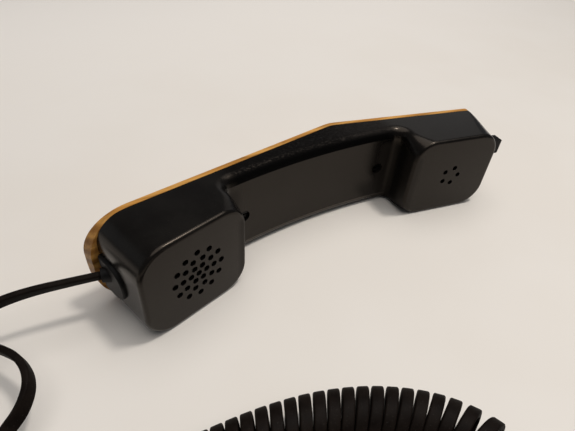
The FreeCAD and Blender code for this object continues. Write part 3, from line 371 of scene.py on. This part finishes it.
def makeJacket():
    material, shader, place = newFinish("cordJacket", Specular_IOR_Level=jacket["sheen"])
    drawn = place.node("ShaderNodeUVMap", {"uv_map": "run"}).noise(*jacket["drawn"])
    mottle = place.noise(*jacket["mottle"])
    dust = place.noise(*jacket["dust"]).step(*jacket["dustEdge"])
    base = mottle.step(*jacket["mid"]).blend(jacket["dark"], jacket["light"])
    feed(shader, "Base Color", (dust * jacket["dustShare"]).blend(base, jacket["dustColour"]))
    feed(shader, "Roughness", mottle * jacket["mottleRough"] + drawn * jacket["drawnRough"] + jacket["rough"])
    feedBump(shader, drawn + place.noise(*jacket["grain"]) * jacket["grainHigh"], *jacket["bump"])
    return material


# clear plug, a little hazy
clear = {
    "through": 0.85,
    "index": 1.49,
    "haze": (500, 3, 0.5),
    "low": (0.86, 0.88, 0.88),
    "high": (0.95, 0.96, 0.95),
    "rough": 0.05,
    "hazeRough": 0.10,
    "bump": (0.08, 0.00004),
}


def makeClear():
    material, shader, place = newFinish("clearPlug", Transmission_Weight=clear["through"], IOR=clear["index"])
    haze = place.noise(*clear["haze"])
    feed(shader, "Base Color", haze.blend(clear["low"], clear["high"]))
    feed(shader, "Roughness", haze * clear["hazeRough"] + clear["rough"])
    feedBump(shader, haze, *clear["bump"])
    return material


plainLooks = {
    "blackenedScrew": {"low": (0.005, 0.005, 0.005), "high": (0.016, 0.015, 0.014), "rough": 0.24,
                       "metal": 0.6, "grain": 1800, "Specular_IOR_Level": 0.15},
    "brassInsert": {"low": (0.45, 0.29, 0.09), "high": (0.62, 0.43, 0.16), "rough": 0.28, "metal": 1.0,
                    "grain": 1600},
    "reliefRubber": {"low": (0.0042, 0.0038, 0.0036), "high": (0.0090, 0.0082, 0.0078), "rough": 0.50,
                     "grain": 1500, "bump": 0.25, "depth": 0.00008, "Specular_IOR_Level": 0.17},
    "tabPlastic": {"low": (0.0045, 0.0040, 0.0037), "high": (0.010, 0.0088, 0.0080), "rough": 0.36,
                   "grain": 1200, "Specular_IOR_Level": 0.10},
    "fibreBoard": {"low": (0.10, 0.045, 0.018), "high": (0.17, 0.085, 0.035), "rough": 0.6, "grain": 1400,
                   "bump": 0.3},
    "redCore": {"low": (0.30, 0.02, 0.015), "high": (0.42, 0.04, 0.03), "rough": 0.4, "grain": 900},
    "blueCore": {"low": (0.015, 0.04, 0.22), "high": (0.03, 0.07, 0.34), "rough": 0.4, "grain": 900},
    "greenCore": {"low": (0.01, 0.12, 0.03), "high": (0.02, 0.20, 0.06), "rough": 0.4, "grain": 900},
    "goldContact": {"low": (0.62, 0.42, 0.12), "high": (0.80, 0.60, 0.22), "rough": 0.22, "metal": 1.0,
                    "grain": 1500},
    "blackFelt": {"low": (0.008, 0.008, 0.008), "high": (0.020, 0.020, 0.019), "rough": 0.9, "grain": 3200,
                  "bump": 0.6, "depth": 0.0002},
    "canMetal": {"low": (0.42, 0.42, 0.41), "high": (0.58, 0.58, 0.56), "rough": 0.32, "metal": 1.0,
                 "grain": 1100},
    "thinFoil": {"low": (0.60, 0.60, 0.58), "high": (0.74, 0.74, 0.72), "rough": 0.22, "metal": 1.0,
                 "grain": 800},
    "gasketRubber": {"low": (0.010, 0.010, 0.010), "high": (0.022, 0.021, 0.020), "rough": 0.6,
                     "grain": 1500},
    "ringPlastic": {"low": (0.018, 0.017, 0.016), "high": (0.034, 0.032, 0.030), "rough": 0.42,
                    "grain": 1000},
    "platedSteel": {"low": (0.46, 0.45, 0.43), "high": (0.62, 0.61, 0.58), "rough": 0.28, "metal": 1.0,
                    "grain": 1600},
    "magnetIron": {"low": (0.06, 0.06, 0.062), "high": (0.11, 0.11, 0.112), "rough": 0.45, "metal": 0.9,
                   "grain": 1300},
    "coilCopper": {"low": (0.42, 0.15, 0.05), "high": (0.60, 0.25, 0.10), "rough": 0.3, "metal": 1.0,
                   "grain": 2200},
}
blackMoulding = makeMoulding()
cordJacket = makeJacket()
looks = {"blackMoulding": blackMoulding, "oiledOak": makeOak(), "cordJacket": cordJacket,
         "clearPlug": makeClear()}
for name, look in plainLooks.items():
    looks[name] = plainFinish(name, **look)
finishes = {
    "front_shell": "blackMoulding",
    "wood_back": "oiledOak",
    "cover_screws": "blackenedScrew",
    "wood_inserts": "brassInsert",
    "strain_relief": "reliefRubber",
    "hang_tab": "tabPlastic",
    "flat_lead": "cordJacket",
    "curly_cord": "cordJacket",
    "tail_lead": "cordJacket",
    "plug_body": "clearPlug",
    "plug_latch": "clearPlug",
    "plug_contacts": "goldContact",
    "terminal_strip": "fibreBoard",
    "terminal_screws": "platedSteel",
    "strip_screws": "platedSteel",
    "cord_cores": "redCore",
    "transmitter_wires": "blueCore",
    "receiver_wires": "greenCore",
    "transmitter_electrode": "platedSteel",
    "receiver_magnet": "magnetIron",
    "receiver_coil": "coilCopper",
}
capsuleFinishes = {
    "felt": "blackFelt",
    "can": "canMetal",
    "diaphragm": "thinFoil",
    "gasket": "gasketRubber",
    "ring": "ringPlastic",
    "ring_screws": "platedSteel",
}
for capsule in ("transmitter", "receiver"):
    for part, finish in capsuleFinishes.items():
        finishes[capsule + "_" + part] = finish
for name, piece in nodes.items():
    piece.data.materials.clear()
    piece.data.materials.append(looks[finishes[name]])
print("finishes set on", len(nodes), "nodes")


# flat cord: lead, curls and tail as one strip, laid where the part's tubes lie
cord = {
    "wide": 0.0050,
    "thick": 0.0026,
    "corner": 0.60,  # share of half the thickness that its edges are rounded by
    "cornerSteps": 5,
    "curls": 38,
    "curlRadius": 0.0083,
    "curlHeight": 0.0102,
    "firstRun": 0.0095,
    "stepsPerCurl": 36,
    "axisFine": 24,  # steps between the points of the curls' axis
    "lineFine": 12,  # and between those of the lead and the tail
    "curlWide": 0.85,  # share of the width left in the curls
    "curlLean": 0.27,  # share of a curl's pitch that its far side is pushed along
    "tight": (6, 25),  # curls between which the cord is pulled together
    "loosen": 0.40,  # how much wider the pitch is outside them
    "loosenOver": 3,  # curls that this takes
    "exit": (-0.10925, -0.01549, 0.0235),
    "exitWay": (-0.982, 0.189, 0.0),
    "lead": [(-0.136, -0.011, 0.0238), (-0.149, -0.0103, 0.0224), (-0.163, -0.0094, 0.0188),
             (-0.177, -0.0066, 0.0134), (-0.1885, -0.0006, 0.0074), (-0.196, 0.0095, 0.0036),
             (-0.1965, 0.0225, 0.0030), (-0.188, 0.0325, 0.0029), (-0.1765, 0.0325, 0.0029),
             (-0.1685, 0.0235, 0.0031), (-0.1645, 0.011, 0.0042), (-0.1605, -0.002, 0.008),
             (-0.1566, -0.0158, 0.0126), (-0.1488, -0.0256, 0.0158), (-0.1428, -0.0350, 0.0176),
             (-0.1412, -0.0446, 0.0168), (-0.1456, -0.0514, 0.0130), (-0.1532, -0.0546, 0.0087),
             (-0.160, -0.0590, 0.0050), (-0.1615, -0.0665, 0.0030), (-0.1575, -0.074, 0.0023)],
    "axis": [(-0.153, -0.0944), (-0.122, -0.0950), (-0.098, -0.0967), (-0.0785, -0.0993),
             (-0.0595, -0.1044), (-0.0412, -0.1134), (-0.0252, -0.1268), (-0.0170, -0.1432),
             (-0.0185, -0.1640), (-0.0315, -0.1825), (-0.052, -0.193)],
    "tail": [(-0.067, -0.169, 0.0023), (-0.0775, -0.159, 0.0026), (-0.0895, -0.151, 0.0031),
             (-0.101, -0.145, 0.0031)],
    # distance along the lead and how far the strip is turned there, in degrees: 90 stands on edge
    "tilts": [(0.0, 62), (0.06, 88), (0.21, 100), (0.265, 180)],
    "length": 2.31,
}


def splinePoints(name, points, fineness):
    curve = bpy.data.curves.new(name, "CURVE")
    curve.dimensions = "3D"
    curve.resolution_u = fineness
    spline = curve.splines.new("NURBS")
    spline.points.add(len(points) - 1)
    for spot, place in zip(spline.points, points):
        spot.co = (*place, 1)
    spline.order_u = 3
    spline.use_endpoint_u = True
    holder = linkToScene(name, curve)
    bpy.context.view_layer.update()
    mesh = bpy.data.meshes.new_from_object(holder)
    places = [vertex.co.copy() for vertex in mesh.vertices]
    bpy.data.objects.remove(holder)
    bpy.data.meshes.remove(mesh)
    bpy.data.curves.remove(curve)
    return places


def smooth(share):
    return share * share * (3 - 2 * share)


def walk(points):
    runs = [0.0]
    for before, after in zip(points, points[1:]):
        runs.append(runs[-1] + (after - before).length)
    return runs


def alongLine(points, runs, distance):
    place = 0
    while place < len(points) - 2 and runs[place + 1] < distance:
        place += 1
    way = (points[place + 1] - points[place]) / (runs[place + 1] - runs[place])
    return points[place] + way * (distance - runs[place]), way


axisLine = splinePoints("curlAxis", [(*place, cord["curlHeight"]) for place in cord["axis"]],
                        cord["axisFine"])
axisRuns = walk(axisLine)
axisLength = axisRuns[-1]
curlPitch = axisLength / cord["curls"]


def curlRuns():
    runs = [0.0]
    first, last = cord["tight"]
    for place in range(cord["curls"] * cord["stepsPerCurl"]):
        turns = place / cord["stepsPerCurl"]
        outside = min(max(first - turns, turns - last, 0.0) / cord["loosenOver"], 1.0)
        runs.append(runs[-1] + 1 + cord["loosen"] * smooth(outside))
    return [run * axisLength / runs[-1] for run in runs]


def curlSpot(turns, distance):
    angle = 2 * math.pi * turns
    distance -= cord["curlLean"] * math.sin(angle) * curlPitch
    centre, way = alongLine(axisLine, axisRuns, distance)
    # the way is eased over one curl so that the turns fan out evenly round the bends
    ahead = alongLine(axisLine, axisRuns, min(distance + curlPitch, axisLength))[1]
    behind = alongLine(axisLine, axisRuns, max(distance - curlPitch, 0.0))[1]
    way = (way + ahead + behind).normalized()
    right = Vector((way.y, -way.x, 0)).normalized()
    outward = right * math.sin(angle) - Vector((0, 0, 1)) * math.cos(angle)
    return centre + outward * cord["curlRadius"], way


curlPoints = []
curlSides = []
for place, distance in enumerate(curlRuns()):
    spot, way = curlSpot(place / cord["stepsPerCurl"], distance)
    curlPoints.append(spot)
    curlSides.append(-way)
level = Vector((1, 1, 0))  # both ends of the curls lie level
curlIn = ((curlPoints[1] - curlPoints[0]) * level).normalized()
curlOut = ((curlPoints[-1] - curlPoints[-2]) * level).normalized()
leadStart = Vector(cord["exit"])
leadWay = Vector(cord["exitWay"])
leadPoints = splinePoints("leadLine", [
    leadStart, leadStart + leadWay * cord["firstRun"], *cord["lead"],
    curlPoints[0] - curlIn * (cord["wide"] + cord["firstRun"]), curlPoints[0] - curlIn * cord["wide"],
    curlPoints[0]], cord["lineFine"])
tailPoints = splinePoints("tailLine", [
    curlPoints[-1], curlPoints[-1] + curlOut * cord["wide"],
    curlPoints[-1] + curlOut * (cord["wide"] + cord["firstRun"]), *cord["tail"]], cord["lineFine"])
leadRuns = walk(leadPoints)


def levelSide(way):
    return Vector((0, 0, 1)).cross(way).normalized()


def leadTilt(distance):
    for (start, first), (stop, last) in zip(cord["tilts"], cord["tilts"][1:]):
        if distance <= stop:
            share = (distance - start) / (stop - start)
            return math.radians(first + (last - first) * smooth(share))
    return math.radians(cord["tilts"][-1][1])


def wayAt(points, place):
    return (points[min(place + 1, len(points) - 1)] - points[max(place - 1, 0)]).normalized()


def stripSides():
    sides = []
    for place, distance in enumerate(leadRuns):
        way = wayAt(leadPoints, place)
        tilt = leadTilt(distance)
        flat = levelSide(way)
        sides.append(flat * math.cos(tilt) + way.cross(flat) * math.sin(tilt))
    sides += curlSides[1:]
    for place in range(1, len(tailPoints)):
        sides.append(-levelSide(wayAt(tailPoints, place)))
    return sides


def stripSection():
    half, rise = cord["wide"] / 2, cord["thick"] / 2
    radius = rise * cord["corner"]
    section = []
    for centreX, centreY, start in ((half - radius, rise - radius, 0), (radius - half, rise - radius, 90),
                                    (radius - half, radius - rise, 180), (half - radius, radius - rise, 270)):
        for corner in range(cord["cornerSteps"]):
            turn = math.radians(start + 90 * corner / (cord["cornerSteps"] - 1))
            section.append((centreX + radius * math.cos(turn), centreY + radius * math.sin(turn)))
    return section


def stripWidths():
    curled = [1.0] * len(leadPoints) + [cord["curlWide"]] * (len(curlPoints) - 1)
    curled += [1.0] * (len(tailPoints) - 1)
    ease = cord["stepsPerCurl"]
    start, stop = len(leadPoints), len(leadPoints) + len(curlPoints)
    for place in range(ease):
        share = 1 + (cord["curlWide"] - 1) * place / ease
        curled[start + place] = share
        curled[stop - 2 - place] = share
    return curled


def stripMesh(name, points, sides, widths, section):
    runs = walk(points)
    vertices = []
    for place, (spot, side, width) in enumerate(zip(points, sides, widths)):
        way = wayAt(points, place)
        across = (side - way * side.dot(way)).normalized()
        over = way.cross(across)
        vertices += [spot + across * (x * width) + over * y for x, y in section]
    count = len(section)
    faces = []
    uvs = []
    for ring in range(len(points) - 1):
        for place in range(count):
            after = (place + 1) % count
            faces.append((ring * count + place, ring * count + after,
                          (ring + 1) * count + after, (ring + 1) * count + place))
            uvs.append(((runs[ring], place / count), (runs[ring], (place + 1) / count),
                        (runs[ring + 1], (place + 1) / count), (runs[ring + 1], place / count)))
    faces.append(tuple(reversed(range(count))))
    uvs.append(((0, 0),) * count)
    faces.append(tuple(range((len(points) - 1) * count, len(points) * count)))
    uvs.append(((runs[-1], 0),) * count)
    mesh = bpy.data.meshes.new(name)
    mesh.from_pydata(vertices, [], faces)
    layer = mesh.uv_layers.new(name="run")
    for face, corners in zip(mesh.polygons, uvs):
        for loop, uv in zip(face.loop_indices, corners):
            layer.data[loop].uv = uv
        face.use_smooth = len(corners) == 4
    mesh.update()
    return mesh


cordPoints = leadPoints + curlPoints[1:] + tailPoints[1:]
flatCord = linkToScene("flatCord", stripMesh("flatCord", cordPoints, stripSides(), stripWidths(),
                                             stripSection()))
flatCord.data.materials.append(cordJacket)
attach(flatCord, "handset")
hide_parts("flat_lead", "curly_cord", "tail_lead")
print("cord laid, %.3f m" % walk(cordPoints)[-1])


# soft lip round each hole of the two faces
grille = {
    "holeRadius": 0.001375,
    "rimWide": 0.00014,
    "rimHigh": 0.00005,
    "rimSteps": 28,
    "lipSteps": 8,
    "mouthRings": (1, 6, 10, 12),
    "mouthStep": 0.00387,
    "mouthTilt": 14.1,
    "mouthCentre": (-0.075, -0.033, 0.0235),
    "earHoles": 5,
    "earRadius": 0.0050,
    "earTilt": -12.3,
    "earCentre": (0.075, -0.033, 0.0235),
}


def grilleSpots():
    spots = []
    mouthTurn = Matrix.Rotation(math.radians(grille["mouthTilt"]), 3, "Z")
    earTurn = Matrix.Rotation(math.radians(grille["earTilt"]), 3, "Z")
    for ring, count in enumerate(grille["mouthRings"]):
        for hole in range(count):
            turn = 2 * math.pi * hole / count
            reach = ring * grille["mouthStep"]
            flat = Vector((reach * math.cos(turn), 0, -reach * math.sin(turn)))
            spots.append((Vector(grille["mouthCentre"]) + mouthTurn @ flat, grille["mouthTilt"]))
    for hole in range(grille["earHoles"]):
        turn = 2 * math.pi * hole / grille["earHoles"]
        flat = Vector((grille["earRadius"] * math.cos(turn), 0, -grille["earRadius"] * math.sin(turn)))
        spots.append((Vector(grille["earCentre"]) + earTurn @ flat, grille["earTilt"]))
    return spots


def rimTree():
    tree = bpy.data.node_groups.new("holeRims", "GeometryNodeTree")
    inputs = {"Geometry": "NodeSocketGeometry", "Hole Radius": "NodeSocketFloat",
              "Rim Width": "NodeSocketFloat", "Rim Height": "NodeSocketFloat", "Finish": "NodeSocketMaterial"}
    sockets = {name: tree.interface.new_socket(name, in_out="INPUT", socket_type=kind)
               for name, kind in inputs.items()}
    tree.interface.new_socket("Geometry", in_out="OUTPUT", socket_type="NodeSocketGeometry")
    group = tree.nodes.new("NodeGroupInput")
    spots, radius, wide, high, finish = [Flow(tree, group.outputs[name]) for name in inputs]
    circle = radius.node("GeometryNodeCurvePrimitiveCircle", None,
                         {"Resolution": grille["rimSteps"], "Radius": radius})
    profile = wide.node("GeometryNodeCurvePrimitiveCircle", None,
                        {"Resolution": grille["lipSteps"], "Radius": wide})
    ringed = circle.node("GeometryNodeCurveToMesh", None, {"Curve": circle, "Profile Curve": profile})
    squeeze = high.node("ShaderNodeCombineXYZ", None, {0: 1, 1: 1, 2: high / wide})
    lip = ringed.node("GeometryNodeTransform", None, {"Geometry": ringed, "Scale": squeeze})
    turn = spots.node("GeometryNodeInputNamedAttribute", {"data_type": "FLOAT_VECTOR"}, {"Name": "turn"})
    rotation = turn.node("FunctionNodeEulerToRotation", None, {"Euler": turn})
    lips = spots.node("GeometryNodeInstanceOnPoints", None,
                      {"Points": spots, "Instance": lip, "Rotation": rotation})
    solid = lips.node("GeometryNodeRealizeInstances", None, {"Geometry": lips})
    painted = solid.node("GeometryNodeSetMaterial", None, {"Geometry": solid, "Material": finish})
    result = tree.nodes.new("NodeGroupOutput")
    feed(result, "Geometry", painted)
    values = {"Hole Radius": grille["holeRadius"] + grille["rimWide"], "Rim Width": grille["rimWide"],
              "Rim Height": grille["rimHigh"], "Finish": blackMoulding}
    return tree, {sockets[name].identifier: value for name, value in values.items()}


def makeRims():
    spots = grilleSpots()
    mesh = bpy.data.meshes.new("rimSpots")
    mesh.from_pydata([spot for spot, tilt in spots], [], [])
    turns = mesh.attributes.new("turn", "FLOAT_VECTOR", "POINT")
    for turn, (spot, tilt) in zip(turns.data, spots):
        turn.vector = (math.radians(90), 0, math.radians(tilt))
    holder = linkToScene("rimSpots", mesh)
    tree, sizes = rimTree()
    modifier = holder.modifiers.new("rims", "NODES")
    modifier.node_group = tree
    for identifier, value in sizes.items():
        modifier[identifier] = value
    bpy.context.view_layer.update()
    evaluated = holder.evaluated_get(bpy.context.evaluated_depsgraph_get())
    made = bpy.data.meshes.new_from_object(evaluated)
    bpy.data.objects.remove(holder)
    for face in made.polygons:
        face.use_smooth = True
    return linkToScene("grilleRims", made)


grilleRims = makeRims()
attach(grilleRims, "handset")
print("grille rims made:", len(grilleRims.data.polygons), "faces")


# pale table, with painted light making it lighter towards the back
table = {
    "size": 3.0,
    "sheen": 0.25,
    "colour": (0.790, 0.748, 0.695),
    "shade": (0.772, 0.726, 0.668),
    "mid": (0.35, 0.65),
    "far": (0.925, 0.880, 0.825),
    "paintedLightFade": (0.02, 0.45),
    "soft": (9, 3, 0.5),
    "softRough": 0.10,
    "rough": 0.50,
}


def makeTable():
    material, shader, place = newFinish("paleTable", Specular_IOR_Level=table["sheen"])
    soft = place.noise(*table["soft"])
    near = soft.step(*table["mid"]).blend(table["colour"], table["shade"])
    # painted light: the table is lighter towards the back
    feed(shader, "Base Color", place.parts()[1].step(*table["paintedLightFade"]).blend(near, table["far"]))
    feed(shader, "Roughness", soft * table["softRough"] + table["rough"])
    half = table["size"] / 2
    mesh = bpy.data.meshes.new("tableTop")
    mesh.from_pydata([(-half, -half, 0), (half, -half, 0), (half, half, 0), (-half, half, 0)], [],
                     [(0, 1, 2, 3)])
    mesh.materials.append(material)
    return linkToScene("tableTop", mesh)


makeTable()
print("table laid")


# light: a lamp overhead, a pale ceiling, a faint cool window at the left and a dim panel at the back
lights = {
    "overhead": {"way": (0.27, -0.14, 0.95), "away": 1.2, "size": 0.16, "power": 5.0,
                 "colour": (1.0, 0.955, 0.90)},
    "ceiling": {"way": (0.10, -0.08, 0.99), "away": 1.5, "size": 2.0, "power": 17.0,
                "colour": (1.0, 0.975, 0.95)},
    "window": {"way": (-0.78, 0.55, 0.32), "away": 1.1, "size": 0.55, "power": 0.12,
               "colour": (0.74, 0.86, 1.0)},
    "panel": {"way": (0.66, 0.58, 0.45), "away": 1.1, "size": 0.6, "power": 0.22,
              "colour": (1.0, 0.97, 0.93)},
}
world = {"colour": (0.88, 0.92, 1.0), "strength": 0.12}
for name, lamp in lights.items():
    data = bpy.data.lights.new(name, "AREA")
    data.shape = "DISK"
    data.size = lamp["size"]
    data.energy = lamp["power"]
    data.color = lamp["colour"]
    item = bpy.data.objects.new(name, data)
    bpy.context.scene.collection.objects.link(item)
    way = Vector(lamp["way"]).normalized()
    item.location = way * lamp["away"]
    item.rotation_euler = way.to_track_quat("Z", "Y").to_euler()
sky = bpy.data.worlds.new("room")
sky.use_nodes = True
sky.node_tree.nodes["Background"].inputs["Color"].default_value = (*world["colour"], 1)
sky.node_tree.nodes["Background"].inputs["Strength"].default_value = world["strength"]
bpy.context.scene.world = sky
bpy.context.scene.view_settings.view_transform = "Standard"
print("light set")
